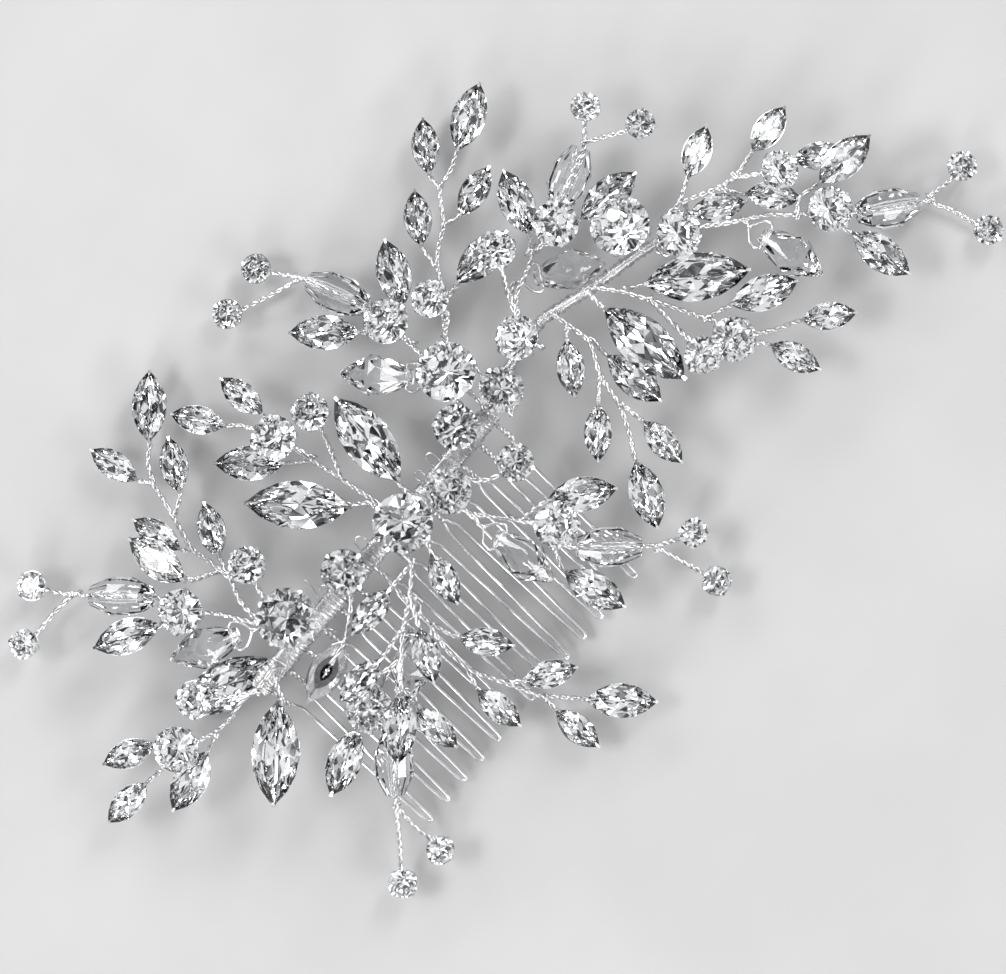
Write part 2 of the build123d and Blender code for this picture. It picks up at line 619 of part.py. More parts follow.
lower.drop(-5.6, -12.0, -148, via=[(-2.0, -8.0, 3.2)], nod=-2, lift=0.55)
lower.export()

# Trailing spray, beyond the tooth tips
trailing = Spray("trailing")
trailing.twig((-1.6, -1.3), (-2.4, -7.0, -0.4), (-3.0, -12.0, -0.8), (-4.4, -16.5), (-4.4, -21.0),
              (-2.5, -26.0), (-0.6, -31.5))
trailing.stone("small", 0.2, -20.0, -58, via=[(-3.0, -12.0, -0.8)])
trailing.stone("small", -5.8, -27.4, -90, via=[(-4.4, -21.0)])
trailing.stone("small", 2.4, -29.8, -36, via=[(-2.5, -26.0)])
trailing.stone("medium", 6.0, -40.0, -52, via=[(-0.6, -31.5)])
trailing.stone("small", -1.0, -37.8, -90, via=[(-0.6, -31.5)])
trailing.export()

save(Compound(children=drop_loops), "drop_loops")
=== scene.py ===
import json
import math
import random

import bmesh
import bpy
import numpy as np
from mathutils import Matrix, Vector


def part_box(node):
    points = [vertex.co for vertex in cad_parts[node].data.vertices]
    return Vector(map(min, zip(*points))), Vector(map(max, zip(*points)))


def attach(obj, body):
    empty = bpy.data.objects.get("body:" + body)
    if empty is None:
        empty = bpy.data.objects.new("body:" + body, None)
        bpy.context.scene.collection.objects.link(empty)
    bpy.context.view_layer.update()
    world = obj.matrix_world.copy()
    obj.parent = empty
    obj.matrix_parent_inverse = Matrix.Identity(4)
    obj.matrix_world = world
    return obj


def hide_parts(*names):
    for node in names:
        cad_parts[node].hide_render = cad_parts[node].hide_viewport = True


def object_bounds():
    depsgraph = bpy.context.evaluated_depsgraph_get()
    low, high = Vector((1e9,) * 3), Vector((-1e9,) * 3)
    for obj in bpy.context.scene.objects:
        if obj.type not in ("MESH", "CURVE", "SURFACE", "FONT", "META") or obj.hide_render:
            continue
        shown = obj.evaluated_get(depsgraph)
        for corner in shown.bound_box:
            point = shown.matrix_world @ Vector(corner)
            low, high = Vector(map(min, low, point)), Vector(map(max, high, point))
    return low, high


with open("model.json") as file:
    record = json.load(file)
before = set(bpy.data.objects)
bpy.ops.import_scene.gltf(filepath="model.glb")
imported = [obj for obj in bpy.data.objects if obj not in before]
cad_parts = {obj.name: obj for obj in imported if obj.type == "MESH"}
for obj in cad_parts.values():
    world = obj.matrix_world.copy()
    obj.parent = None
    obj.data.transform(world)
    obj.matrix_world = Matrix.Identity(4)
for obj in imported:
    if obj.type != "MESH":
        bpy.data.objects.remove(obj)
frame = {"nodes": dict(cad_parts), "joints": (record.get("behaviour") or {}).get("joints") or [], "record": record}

cad_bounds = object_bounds()

# Lengths below are millimetres, and meshes are made in metres.
MM = 0.001
WELD = 0.0005
SMALLEST_SOLID = 12
random.seed(11)

# Twigs and wires
STRAND = 0.2
TWIST_PITCH = 2.7
PATH_STEP = 0.22
TUBE_SIDES = 7
NECK_STRAND = 0.215
NECK_PITCH = 1.7
TOOTH_SIDES = 12

# Radii of the CAD model's round rods
TWIG_RADIUS = 0.33
LOOP_RADIUS = 0.22
TOOTH_RADIUS = 0.275
NECK_RADIUS = 0.425
SPINE_RADIUS = 0.5
DRILL_RADIUS = 0.42

# Wire wound on the rail and the spine
COIL_WIRE = 0.125
COIL_PITCH = 0.27
CROSS_WIRE = 0.115
COIL_STEPS = 22

# Cut stones, as shares of the width
GIRDLE = 0.022
CROWN = 0.2
PAVILION = 0.43
TABLE = 0.58
STAR = 0.8
LOWER = 0.5
CUP_GAP = 0.03
CUP_SHEET = 0.13
CUP_INSET = 0.95

# Studio
FOCAL = 179.0
CAMERA_HEIGHT = 700.0
VIEW_CENTRE = (18.3, -7.9)
VIEW_TURN = -50.0


# ---------------------------------------------------------------- reading the frame


def solids_of(node):
    """Points in millimetres and triangles of each separate solid in a CAD node."""
    bm = bmesh.new()
    bm.from_mesh(frame["nodes"][node].data)
    bmesh.ops.remove_doubles(bm, verts=bm.verts, dist=WELD * MM)
    bmesh.ops.triangulate(bm, faces=bm.faces)
    bm.verts.index_update()
    bm.faces.index_update()
    bm.faces.ensure_lookup_table()
    owner = [-1] * len(bm.faces)
    parts = []
    for seed in bm.faces:
        if owner[seed.index] >= 0:
            continue
        # Solids that touch share a point or an edge of four faces, so the walk crosses plain edges alone.
        owner[seed.index] = len(parts)
        front, faces = [seed], []
        while front:
            face = front.pop()
            faces.append(face)
            for edge in face.edges:
                if len(edge.link_faces) != 2:
                    continue
                for other in edge.link_faces:
                    if owner[other.index] < 0:
                        owner[other.index] = len(parts)
                        front.append(other)
        parts.append(faces)
    solids = []
    for faces in parts:
        if len(faces) < SMALLEST_SOLID:
            continue
        numbers, points, triangles = {}, [], []
        for face in faces:
            for vert in face.verts:
                if vert.index not in numbers:
                    numbers[vert.index] = len(points)
                    points.append([c / MM for c in vert.co])
            triangles.append([numbers[vert.index] for vert in face.verts])
        solids.append((np.array(points), np.array(triangles)))
    bm.free()
    return solids


def triangle_normals(points, triangles):
    a, b, c = (points[triangles[:, k]] for k in range(3))
    cross = np.cross(b - a, c - a)
    size = np.linalg.norm(cross, axis=1)
    return cross / np.maximum(size, 1e-12)[:, None], size / 2


def flat_groups(points, triangles, normals):
    """For each triangle, a mask of the triangles in its plane."""
    offsets = np.einsum("ij,ij->i", normals, points[triangles[:, 0]])
    same_way = normals @ normals.T > 0.9998
    same_level = np.abs(offsets[:, None] - offsets[None, :]) < 0.02
    return same_way & same_level


def centreline(points, triangles, radius):
    """Middle line of a round rod: its surface moved in by the radius, then followed from end to end."""
    normals, areas = triangle_normals(points, triangles)
    end_faces = flat_groups(points, triangles, normals).sum(axis=1) >= 5
    vertex_normals = np.zeros_like(points)
    for triangle, normal, area, is_end in zip(triangles, normals, areas, end_faces):
        if is_end or area < 1e-9:
            continue
        for k in range(3):
            one = points[triangle[(k + 1) % 3]] - points[triangle[k]]
            two = points[triangle[(k + 2) % 3]] - points[triangle[k]]
            share = np.dot(one, two) / (np.linalg.norm(one) * np.linalg.norm(two) + 1e-12)
            vertex_normals[triangle[k]] += normal * math.acos(max(-1.0, min(1.0, share)))
    lengths = np.linalg.norm(vertex_normals, axis=1)
    inner = points - radius * vertex_normals / np.maximum(lengths, 1e-9)[:, None]
    centres, members, cluster = [], [], []
    for point in inner:
        near = [k for k, c in enumerate(centres) if np.linalg.norm(c - point) < 0.22]
        if near:
            k = near[0]
            members[k].append(point)
            centres[k] = np.mean(members[k], axis=0)
        else:
            k = len(centres)
            centres.append(point)
            members.append([point])
        cluster.append(k)
    links = {k: set() for k in range(len(centres))}
    for triangle in triangles:
        for k in range(3):
            one, two = cluster[triangle[k]], cluster[triangle[(k + 1) % 3]]
            if one != two:
                links[one].add(two)
                links[two].add(one)

    def reach(start):
        far = {start: 0.0}
        came = {start: None}
        queue = {start}
        while queue:
            here = min(queue, key=far.get)
            queue.remove(here)
            for other in links[here]:
                length = far[here] + float(np.linalg.norm(centres[other] - centres[here]))
                if length < far.get(other, 1e9) - 1e-9:
                    far[other] = length
                    came[other] = here
                    queue.add(other)
        last = max(far, key=far.get)
        return last, came

    first, _ = reach(0)
    last, came = reach(first)
    route = []
    step = last
    while step is not None:
        route.append(centres[step])
        step = came[step]
    return np.array(route)


def resampled(route, step=PATH_STEP, rounds=3):
    """The route at even steps, with its corners eased."""
    lengths = np.linalg.norm(np.diff(route, axis=0), axis=1)
    along = np.concatenate([[0], np.cumsum(lengths)])
    count = max(4, int(along[-1] / step) + 1)
    marks = np.linspace(0, along[-1], count)
    path = np.stack([np.interp(marks, along, route[:, k]) for k in range(3)], axis=1)
    for _ in range(rounds):
        path[1:-1] = (path[:-2] + 2 * path[1:-1] + path[2:]) / 4
    return path


def lengthened(path, start=0.0, end=0.0):
    head = path[0] - (path[1] - path[0]) / np.linalg.norm(path[1] - path[0]) * start
    tail = path[-1] + (path[-1] - path[-2]) / np.linalg.norm(path[-1] - path[-2]) * end
    return np.vstack([[head], path[1:-1], [tail]])


# ---------------------------------------------------------------- mesh building


class Shape:
    """Points and faces of one piece, in millimetres."""

    def __init__(self):
        self.points = []
        self.faces = []
        self.slots = []
        self.smooth = []

    def add(self, points, faces, slot=0, smooth=False):
        base = len(self.points)
        self.points.extend(tuple(p) for p in points)
        self.faces.extend([base + k for k in face] for face in faces)
        self.slots.extend([slot] * len(faces))
        self.smooth.extend([smooth] * len(faces))

    def build(self, name, materials):
        mesh = bpy.data.meshes.new(name)
        mesh.from_pydata([[c * MM for c in p] for p in self.points], [], self.faces)
        mesh.polygons.foreach_set("material_index", self.slots)
        mesh.polygons.foreach_set("use_smooth", self.smooth)
        for material in materials:
            mesh.materials.append(material)
        mesh.update()
        piece = bpy.data.objects.new(name, mesh)
        bpy.context.scene.collection.objects.link(piece)
        return piece


def carried_frames(path):
    """Two directions across the path at each point, turned as little as possible along it."""
    tangents = np.gradient(path, axis=0)
    tangents /= np.linalg.norm(tangents, axis=1)[:, None]
    start = np.array([0, 0, 1.0]) if abs(tangents[0][2]) < 0.9 else np.array([1.0, 0, 0])
    side = np.cross(tangents[0], start)
    side /= np.linalg.norm(side)
    sides = []
    for tangent in tangents:
        side = side - tangent * np.dot(side, tangent)
        side /= np.linalg.norm(side)
        sides.append(side)
    sides = np.array(sides)
    return sides, np.cross(tangents, sides)


def add_tube(shape, path, radius, sides=TUBE_SIDES, slot=0):
    """A round wire along the path, with domed ends."""
    one, two = carried_frames(path)
    count = len(path)
    angles = np.arange(sides) * 2 * math.pi / sides
    rings = []
    for k in range(count):
        rings.append(path[k] + radius * (np.cos(angles)[:, None] * one[k] + np.sin(angles)[:, None] * two[k]))
    points = np.vstack(rings)
    faces = []
    for k in range(count - 1):
        for j in range(sides):
            n = (j + 1) % sides
            faces.append([k * sides + j, k * sides + n, (k + 1) * sides + n, (k + 1) * sides + j])
    head = path[0] - (path[1] - path[0]) / np.linalg.norm(path[1] - path[0]) * radius * 0.6
    tail = path[-1] + (path[-1] - path[-2]) / np.linalg.norm(path[-1] - path[-2]) * radius * 0.6
    points = np.vstack([points, [head], [tail]])
    for j in range(sides):
        n = (j + 1) % sides
        faces.append([count * sides, n, j])
        faces.append([count * sides + 1, (count - 1) * sides + j, (count - 1) * sides + n])
    shape.add(points, faces, slot, smooth=True)


def add_twist(shape, path, strand=STRAND, pitch=TWIST_PITCH, sides=TUBE_SIDES):
    """Two wires twisted round each other along the path."""
    one, two = carried_frames(path)
    lengths = np.concatenate([[0], np.cumsum(np.linalg.norm(np.diff(path, axis=0), axis=1))])
    phase = random.uniform(0, math.pi)
    drift = random.uniform(0, 6)
    pitch = pitch * random.uniform(0.92, 1.1)
    turn = phase + lengths * 2 * math.pi / pitch + 0.35 * np.sin(lengths / 1.9 + drift)
    spread = strand * (1.04 + 0.1 * np.sin(lengths / 1.3 + drift))
    offset = (np.cos(turn)[:, None] * one + np.sin(turn)[:, None] * two) * spread[:, None]
    add_tube(shape, path + offset, strand, sides)
    add_tube(shape, path - offset, strand, sides)


def place(points, origin, axes):
    """Points given along the three axes from the origin."""
    return origin + np.asarray(points, float) @ axes


# ---------------------------------------------------------------- cut stones


def stone_frame(points, triangles):
    """Origin at the girdle's middle, axes (along, across, up), length and width of a CAD crystal."""
    normals, areas = triangle_normals(points, triangles)
    flats = flat_groups(points, triangles, normals) @ areas
    up = normals[int(np.argmax(flats))]
    level = points @ up
    plan = points - level[:, None] * up
    spread = plan[:, None, :] - plan[None, :, :]
    far = np.linalg.norm(spread, axis=2)
    i, j = np.unravel_index(int(np.argmax(far)), far.shape)
    along = (plan[i] - plan[j]) / far[i, j]
    across = np.cross(up, along)
    x, y = plan @ along, plan @ across
    middle = ((x.max() + x.min()) / 2) * along + ((y.max() + y.min()) / 2) * across
    radial = np.linalg.norm(plan - middle, axis=1)
    girdle = level[radial > 0.985 * radial.max()]
    origin = middle + up * (girdle.max() + girdle.min()) / 2
    return origin, np.array([along, across, up]), x.max() - x.min(), y.max() - y.min()


def edge_point(angle, length, width):
    """Point of the girdle's outline: a pointed oval, or a circle where the length is the width."""
    if length < 1.25 * width:
        return np.array([length / 2 * math.cos(angle), width / 2 * math.sin(angle)])
    radius = (length**2 + width**2) / (4 * width)
    x = length / 2 * math.cos(angle)
    y = math.sqrt(max(0.0, radius**2 - x**2)) - radius + width / 2
    return np.array([x, math.copysign(y, math.sin(angle)) if abs(math.sin(angle)) > 1e-9 else 0.0])


def faceted_stone(length, width):
    """Points, crown faces and pavilion faces of a stone with eight main facets."""
    step = math.pi / 4
    half_step = step / 2
    crown, girdle, deep = CROWN * width, GIRDLE * width, PAVILION * width
    navette = length > 1.25 * width
    star_height = girdle + (crown - girdle) * (0.56 if navette else 0.54)
    lower_height = -girdle - (deep - girdle) * (0.56 if navette else 0.55)

    def ring(share, z, count, start=0.0):
        rows = []
        for k in range(count):
            point = edge_point(start + k * 2 * math.pi / count, length, width) * share
            rows.append((point[0], point[1], z))
        return rows

    points = ring(TABLE, crown, 8) + ring(STAR, star_height, 8, half_step)
    points += ring(1.0, girdle, 16) + ring(1.0, -girdle, 16)
    points += ring(LOWER, lower_height, 8, half_step) + [(0, 0, -deep)]
    table, star, top, bottom, lower, culet = 0, 8, 16, 32, 48, 56
    crown_faces = [[table + k for k in range(8)]]
    back_faces = []
    for k in range(8):
        n, p = (k + 1) % 8, (k - 1) % 8
        crown_faces.append([table + k, star + k, table + n])
        crown_faces.append([table + k, star + p, top + 2 * k])
        crown_faces.append([table + k, top + 2 * k, star + k])
        crown_faces.append([star + k, top + 2 * k, top + 2 * k + 1])
        crown_faces.append([star + k, top + 2 * k + 1, top + (2 * k + 2) % 16])
        back_faces.append([lower + k, bottom + 2 * k + 1, bottom + 2 * k])
        back_faces.append([lower + k, bottom + (2 * k + 2) % 16, bottom + 2 * k + 1])
        back_faces.append([culet, lower + p, bottom + 2 * k])
        back_faces.append([culet, bottom + 2 * k, lower + k])
    for k in range(16):
        n = (k + 1) % 16
        crown_faces.append([top + k, bottom + k, bottom + n, top + n])
    return points, crown_faces, back_faces


def add_stone(shape, stone):
    origin, axes, length, width = stone
    points, crown_faces, back_faces = faceted_stone(length, width)
    placed = place(points, origin, axes)
    base = len(shape.points)
    shape.add(placed, crown_faces, slot=0)
    shape.faces.extend([base + k for k in face] for face in back_faces)
    shape.slots.extend([1] * len(back_faces))
    shape.smooth.extend([False] * len(back_faces))


def add_strip(shape, rail, width, thickness, origin, axes, tip_share=0.6):
    """A flat claw: rail gives (outward, up) points, and its width narrows towards the tip."""
    count = len(rail)
    points = []
    for k, (out, up) in enumerate(rail):
        before, after = rail[max(0, k - 1)], rail[min(count - 1, k + 1)]
        way = Vector((after[0] - before[0], after[1] - before[1])).normalized()
        normal = (way[1], -way[0])
        share = 1 - (1 - tip_share) * (k / (count - 1)) ** 3
        for side, level in ((-1, 0.5), (1, 0.5), (1, -0.5), (-1, -0.5)):
            points.append(
                (
                    out + normal[0] * level * thickness,
                    side * share * width / 2,
                    up + normal[1] * level * thickness,
                )
            )
    faces = [[3, 2, 1, 0], [4 * count - 4, 4 * count - 3, 4 * count - 2, 4 * count - 1]]
    for k in range(count - 1):
        for j in range(4):
            n = (j + 1) % 4
            faces.append([4 * k + j, 4 * k + n, 4 * k + 4 + n, 4 * k + 4 + j])
    shape.add(place(points, origin, axes), faces, smooth=False)


def add_cup(shape, stone):
    """A thin pressed cup round the pavilion, with a slot in its floor and claws bent over the crown."""
    origin, axes, length, width = stone
    navette = length > 1.25 * width
    steps = 28
    depth = (PAVILION + 0.005) * width + 0.1
    floor_share = 0.5 if navette else 0.56
    slot_share = 0.3 if navette else 0.34

    def ring(share, grow, z):
        rows = []
        for k in range(steps):
            angle = k * 2 * math.pi / steps
            point = edge_point(angle, length, width)
            out = point / max(1e-6, np.linalg.norm(point))
            point = point * share + out * grow
            rows.append((point[0], point[1], z))
        return rows

    rim = -GIRDLE * width - 0.1
    outside = [(CUP_INSET, CUP_GAP + CUP_SHEET, rim), (0.93, CUP_GAP + CUP_SHEET, rim - 0.3)]
    outside += [(0.8, CUP_GAP + CUP_SHEET, -0.55 * depth), (floor_share, 0.25, -depth)]
    outside += [(slot_share, 0.0, -depth)]
    inside = [(slot_share, 0.0, -depth + CUP_SHEET), (floor_share, 0.12, -depth + CUP_SHEET)]
    inside += [(0.8, CUP_GAP, -0.52 * depth), (0.93, CUP_GAP, rim - 0.3), (CUP_INSET, CUP_GAP, rim)]
    levels = outside + inside
    points = []
    for share, grow, z in levels:
        points += ring(share, grow, z)
    faces = []
    for level in range(len(levels)):
        upper, lower = level * steps, ((level + 1) % len(levels)) * steps
        for k in range(steps):
            n = (k + 1) % steps
            faces.append([upper + k, lower + k, lower + n, upper + n])
    shape.add(place(points, origin, axes), faces, smooth=False)
    claw_turns = (0, 180) if navette else (0, 90, 180, 270)
    bend_in = 0.62 if navette else 0.42
    over = GIRDLE * width + (0.17 if navette else 0.24)
    for turn in claw_turns:
        angle = math.radians(turn)
        reach = (length if turn % 180 == 0 else width) / 2
        rail = [
            (reach * 0.86 + 0.2, -0.62 * depth),
            (reach + 0.1, rim - 0.35),
            (reach + 0.17, 0.0),
            (reach + 0.08, over),
            (reach - bend_in * 0.5, over + 0.14),
            (reach - bend_in, over + 0.24),
        ]
        cos, sin = math.cos(angle), math.sin(angle)
        turned = np.array([axes[0] * cos + axes[1] * sin, axes[1] * cos - axes[0] * sin, axes[2]])
        claw_width = 0.42 if width < 5.1 else 0.55
        add_strip(shape, rail, claw_width, 0.14, origin, turned)


# ---------------------------------------------------------------- materials


def node_material(name):
    material = bpy.data.materials.new(name)
    material.use_nodes = True
    nodes = material.node_tree.nodes
    shader = nodes["Principled BSDF"]
    coords = nodes.new("ShaderNodeTexCoord")
    return material, nodes, material.node_tree.links, shader, coords


def noise(nodes, links, coords, scale, detail=3.0):
    texture = nodes.new("ShaderNodeTexNoise")
    texture.inputs["Scale"].default_value = scale
    texture.inputs["Detail"].default_value = detail
    links.new(coords.outputs["Object"], texture.inputs["Vector"])
    return texture


def spread_value(nodes, links, source, low, high):
    ramp = nodes.new("ShaderNodeMapRange")
    ramp.inputs["To Min"].default_value = low
    ramp.inputs["To Max"].default_value = high
    links.new(source.outputs["Fac"], ramp.inputs["Value"])
    return ramp


def spread_colour(nodes, links, source, dark, light):
    ramp = nodes.new("ShaderNodeValToRGB")
    ramp.color_ramp.elements[0].position = 0.3
    ramp.color_ramp.elements[1].position = 0.7
    ramp.color_ramp.elements[0].color = (*dark, 1)
    ramp.color_ramp.elements[1].color = (*light, 1)
    links.new(source.outputs["Fac"], ramp.inputs["Fac"])
    return ramp


def plated(name, dark, light, smooth, rough, bump, grain=900.0):
    """Silver-coloured plating: tone and gloss vary softly, with fine drawing or pressing marks."""
    material, nodes, links, shader, coords = node_material(name)
    shader.inputs["Metallic"].default_value = 1.0
    broad = noise(nodes, links, coords, 260.0)
    fine = noise(nodes, links, coords, grain * 3, 4.0)
    links.new(spread_colour(nodes, links, broad, dark, light).outputs["Color"], shader.inputs["Base Color"])
    links.new(spread_value(nodes, links, fine, smooth, rough).outputs["Result"], shader.inputs["Roughness"])
    relief = nodes.new("ShaderNodeBump")
    relief.inputs["Strength"].default_value = bump
    relief.inputs["Distance"].default_value = 0.00004
    links.new(fine.outputs["Fac"], relief.inputs["Height"])
    links.new(relief.outputs["Normal"], shader.inputs["Normal"])
    return material


def clear_glass(name, index, rough):
    """Clear cut glass, with the faintest polish haze."""
    material, nodes, links, shader, coords = node_material(name)
    shader.inputs["Base Color"].default_value = (0.985, 0.99, 1.0, 1)
    shader.inputs["Transmission Weight"].default_value = 1.0
    shader.inputs["IOR"].default_value = index
    haze = noise(nodes, links, coords, 500.0)
    links.new(spread_value(nodes, links, haze, 0.0, rough).outputs["Result"], shader.inputs["Roughness"])
    return material


silver_wire = plated("twisted_silver_wire", (0.62, 0.62, 0.63), (0.86, 0.86, 0.87), 0.16, 0.3, 0.25)
wrap_silver = plated("wound_silver_wire", (0.6, 0.6, 0.61), (0.85, 0.85, 0.86), 0.16, 0.32, 0.25)
comb_silver = plated("comb_wire_plating", (0.6, 0.6, 0.61), (0.8, 0.8, 0.81), 0.14, 0.28, 0.2)
strip_silver = plated("rail_strip_plating", (0.66, 0.66, 0.67), (0.85, 0.85, 0.86), 0.18, 0.34, 0.35, 1400.0)
cup_silver = plated("pressed_cup_plating", (0.62, 0.62, 0.63), (0.86, 0.86, 0.87), 0.12, 0.26, 0.2)
crystal_glass = clear_glass("crystal_glass", 1.6, 0.012)
bead_glass = clear_glass("bead_glass", 1.52, 0.01)
foil = plated("mirror_foil", (0.86, 0.865, 0.87), (0.95, 0.955, 0.96), 0.015, 0.05, 0.02, 300.0)


def finish_piece(piece, body, slot, *nodes):
    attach(piece, body)
    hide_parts(*nodes)
    return piece


# ---------------------------------------------------------------- sprays

joint_of = {joint["child"]: joint for joint in frame["joints"]}

for node in sorted(frame["nodes"]):
    if node.endswith("_crystals"):
        spray = node[: -len("_crystals")]
        stones = [stone_frame(*solid) for solid in solids_of(node)]
        cut = Shape()
        cups = Shape()
        for stone in stones:
            add_stone(cut, stone)
            add_cup(cups, stone)
        finish_piece(cut.build(f"{spray}_cut_crystals", [crystal_glass, foil]), "root", "crystal", node)
        finish_piece(
            cups.build(f"{spray}_claw_cups", [cup_silver]), "root", "setting", f"{spray}_settings"
        )
    elif node.endswith("_twigs"):
        spray = node[: -len("_twigs")]
        wires = Shape()
        for solid in solids_of(node):
            path = resampled(centreline(*solid, TWIG_RADIUS))
            add_twist(wires, lengthened(path, 0.3, 0.3))
        finish_piece(wires.build(f"{spray}_twisted_twigs", [silver_wire]), "root", "twig_wire", node)

loops = Shape()
for solid in solids_of("drop_loops"):
    add_tube(loops, resampled(centreline(*solid, LOOP_RADIUS), 0.18, 2), LOOP_RADIUS, 10)
finish_piece(loops.build("drop_wire_loops", [silver_wire]), "root", "twig_wire", "drop_loops")


# ---------------------------------------------------------------- beads


def joint_axes(joint):
    """Axes with the third along the joint's axis."""
    axis = np.array(joint["axis"], float)
    axis /= np.linalg.norm(axis)
    side = np.cross([0, 0, 1.0], axis)
    side = side / np.linalg.norm(side) if np.linalg.norm(side) > 0.1 else np.array([1.0, 0, 0])
    return np.array([side, np.cross(axis, side), axis])


def hull_shape(points):
    """Convex solid round the points: faces as lists of point numbers."""
    bm = bmesh.new()
    for point in points:
        bm.verts.new(point)
    bm.verts.ensure_lookup_table()
    result = bmesh.ops.convex_hull(bm, input=bm.verts)
    unused = {v for v in result["geom_interior"] + result["geom_unused"] if isinstance(v, bmesh.types.BMVert)}
    bmesh.ops.delete(bm, geom=list(unused), context="VERTS")
    bmesh.ops.dissolve_limit(bm, angle_limit=math.radians(0.6), verts=bm.verts, edges=bm.edges)
    bmesh.ops.recalc_face_normals(bm, faces=bm.faces)
    bm.verts.index_update()
    corners = [tuple(v.co) for v in bm.verts]
    faces = [[v.index for v in face.verts] for face in bm.faces]
    bm.free()
    return corners, faces


BARREL_SIDES = 14
BARREL_WAIST = 0.34


def barrel_shape(half, radius, end_radius, bore):
    """A barrel bead along the third axis: three bands of long facets and a drilled bore."""
    sides = BARREL_SIDES
    rings = [(half, end_radius), (half * BARREL_WAIST, radius), (-half * BARREL_WAIST, radius)]
    rings += [(-half, end_radius), (-half, bore), (half, bore)]
    points = []
    for z, ring_radius in rings:
        for k in range(sides):
            angle = k * 2 * math.pi / sides
            points.append((ring_radius * math.cos(angle), ring_radius * math.sin(angle), z))
    faces = []
    for level in range(len(rings)):
        upper, lower = level * sides, ((level + 1) % len(rings)) * sides
        for k in range(sides):
            n = (k + 1) % sides
            faces.append([upper + k, lower + k, lower + n, upper + n])
    return points, faces


def node_extent(node, origin, axes):
    """Lowest and highest coordinates of a CAD node along the three axes from the origin."""
    points = np.vstack([solid[0] for solid in solids_of(node)])
    local = (points - origin) @ axes.T
    return local, local.min(axis=0), local.max(axis=0)


for child, joint in joint_of.items():
    node = frame["record"]["behaviour"]["bodies"][child][0]
    origin = np.array(joint["pos_m"], float) / MM
    axes = joint_axes(joint)
    local, low, high = node_extent(node, origin, axes)
    if node.endswith("_barrel_bead"):
        radial = np.hypot(local[:, 0], local[:, 1])
        half = high[2]
        at_end = radial[np.abs(np.abs(local[:, 2]) - half) < 0.05]
        points, faces = barrel_shape(half, radial.max(), at_end.max(), at_end.min())
        bead = Shape()
        bead.add(place(points, origin, axes), faces)
        finish_piece(bead.build(f"{child}_glass", [bead_glass]), child, "bead_glass", node)
    else:
        # The drop hangs away from its hole: its long axis goes from the hole to the far tip.
        from_hole = np.hypot(local[:, 0], local[:, 1])
        tips = local[from_hole > 0.985 * from_hole.max()]
        spine = np.array([tips[:, 0].mean(), tips[:, 1].mean(), 0.0])
        spine /= np.linalg.norm(spine)
        along = spine @ axes
        across = axes[2]
        drop_axes = np.array([along, across, np.cross(along, across)])
        local, low, high = node_extent(node, origin, drop_axes)
        radius = max(high[1], high[2])
        end, back = high[0], low[0]
        rings = [
            (back, 0.36, 0.0),
            (back * 0.4, 0.44, 22.5),
            (0.17 * end, 0.72, 0.0),
            (0.45 * end, 1.0, 22.5),
            (0.56 * end, 0.97, 0.0),
            (0.8 * end, 0.56, 22.5),
            (0.94 * end, 0.24, 0.0),
            (end, 0.1, 22.5),
        ]
        points = []
        for x, share, start in rings:
            for k in range(8):
                angle = math.radians(start + 45 * k)
                points.append((x, share * radius * math.cos(angle), share * radius * math.sin(angle)))
        corners, faces = hull_shape(points)
        drop = Shape()
        drop.add(place(corners, origin, drop_axes), faces)
        body = drop.build(f"{child}_glass", [bead_glass])
        drill = Shape()
        drill_reach = across * radius * 1.2
        add_tube(drill, np.array([origin - drill_reach, origin, origin + drill_reach]), DRILL_RADIUS, 16)
        cutter = drill.build(f"{child}_drill", [bead_glass])
        cut_hole = body.modifiers.new("hole", "BOOLEAN")
        cut_hole.operation = "DIFFERENCE"
        cut_hole.object = cutter
        cut_hole.solver = "EXACT"
        bpy.context.view_layer.update()
        drilled = bpy.data.meshes.new_from_object(body.evaluated_get(bpy.context.evaluated_depsgraph_get()))
        body.modifiers.clear()
        body.data = drilled
        bpy.data.objects.remove(cutter)
        finish_piece(body, child, "drop_glass", node)


# ---------------------------------------------------------------- comb

teeth = Shape()
for solid in solids_of("comb_teeth"):
    path = resampled(centreline(*solid, TOOTH_RADIUS), 0.3, 2)
    add_tube(teeth, path, TOOTH_RADIUS, TOOTH_SIDES)
finish_piece(teeth.build("hairpin_teeth", [comb_silver]), "root", "comb_wire", "comb_teeth")

necks = Shape()
for solid in solids_of("neck_twists"):
    path = resampled(centreline(*solid, NECK_RADIUS), 0.12, 0)
    add_twist(necks, lengthened(path, 0.1, 0.1), NECK_STRAND, NECK_PITCH, 9)
finish_piece(necks.build("twisted_necks", [comb_silver]), "root", "comb_wire", "neck_twists")


def rail_section(angle, half_width, half_height):
    """Point of a squarish loop round the rail."""
    power = 0.55
    cos, sin = math.cos(angle), math.sin(angle)
    return np.array(
        [
            math.copysign(abs(cos) ** power, cos) * half_width,
            math.copysign(abs(sin) ** power, sin) * half_height,
        ]
    )


def add_rail_coil(shape, start, end, half_width, half_height, wire, pitch, lean=1):
    """Wire wound from start to end along the rail, with slightly uneven turns."""
    turns = max(1, round(abs(end - start) / pitch))
    path = []
    wobble = random.uniform(0, 6)
    for k in range(turns * COIL_STEPS + 1):
        angle = lean * k * 2 * math.pi / COIL_STEPS
        share = k / (turns * COIL_STEPS)
        x = start + (end - start) * share + 0.1 * pitch * math.sin(k * 0.37 + wobble)
        swell = 1 + 0.02 * math.sin(k * 0.083 + wobble)
        y, z = rail_section(angle, half_width * swell, half_height * swell)
        path.append((x, y, z))
    add_tube(shape, np.array(path), wire, 6)


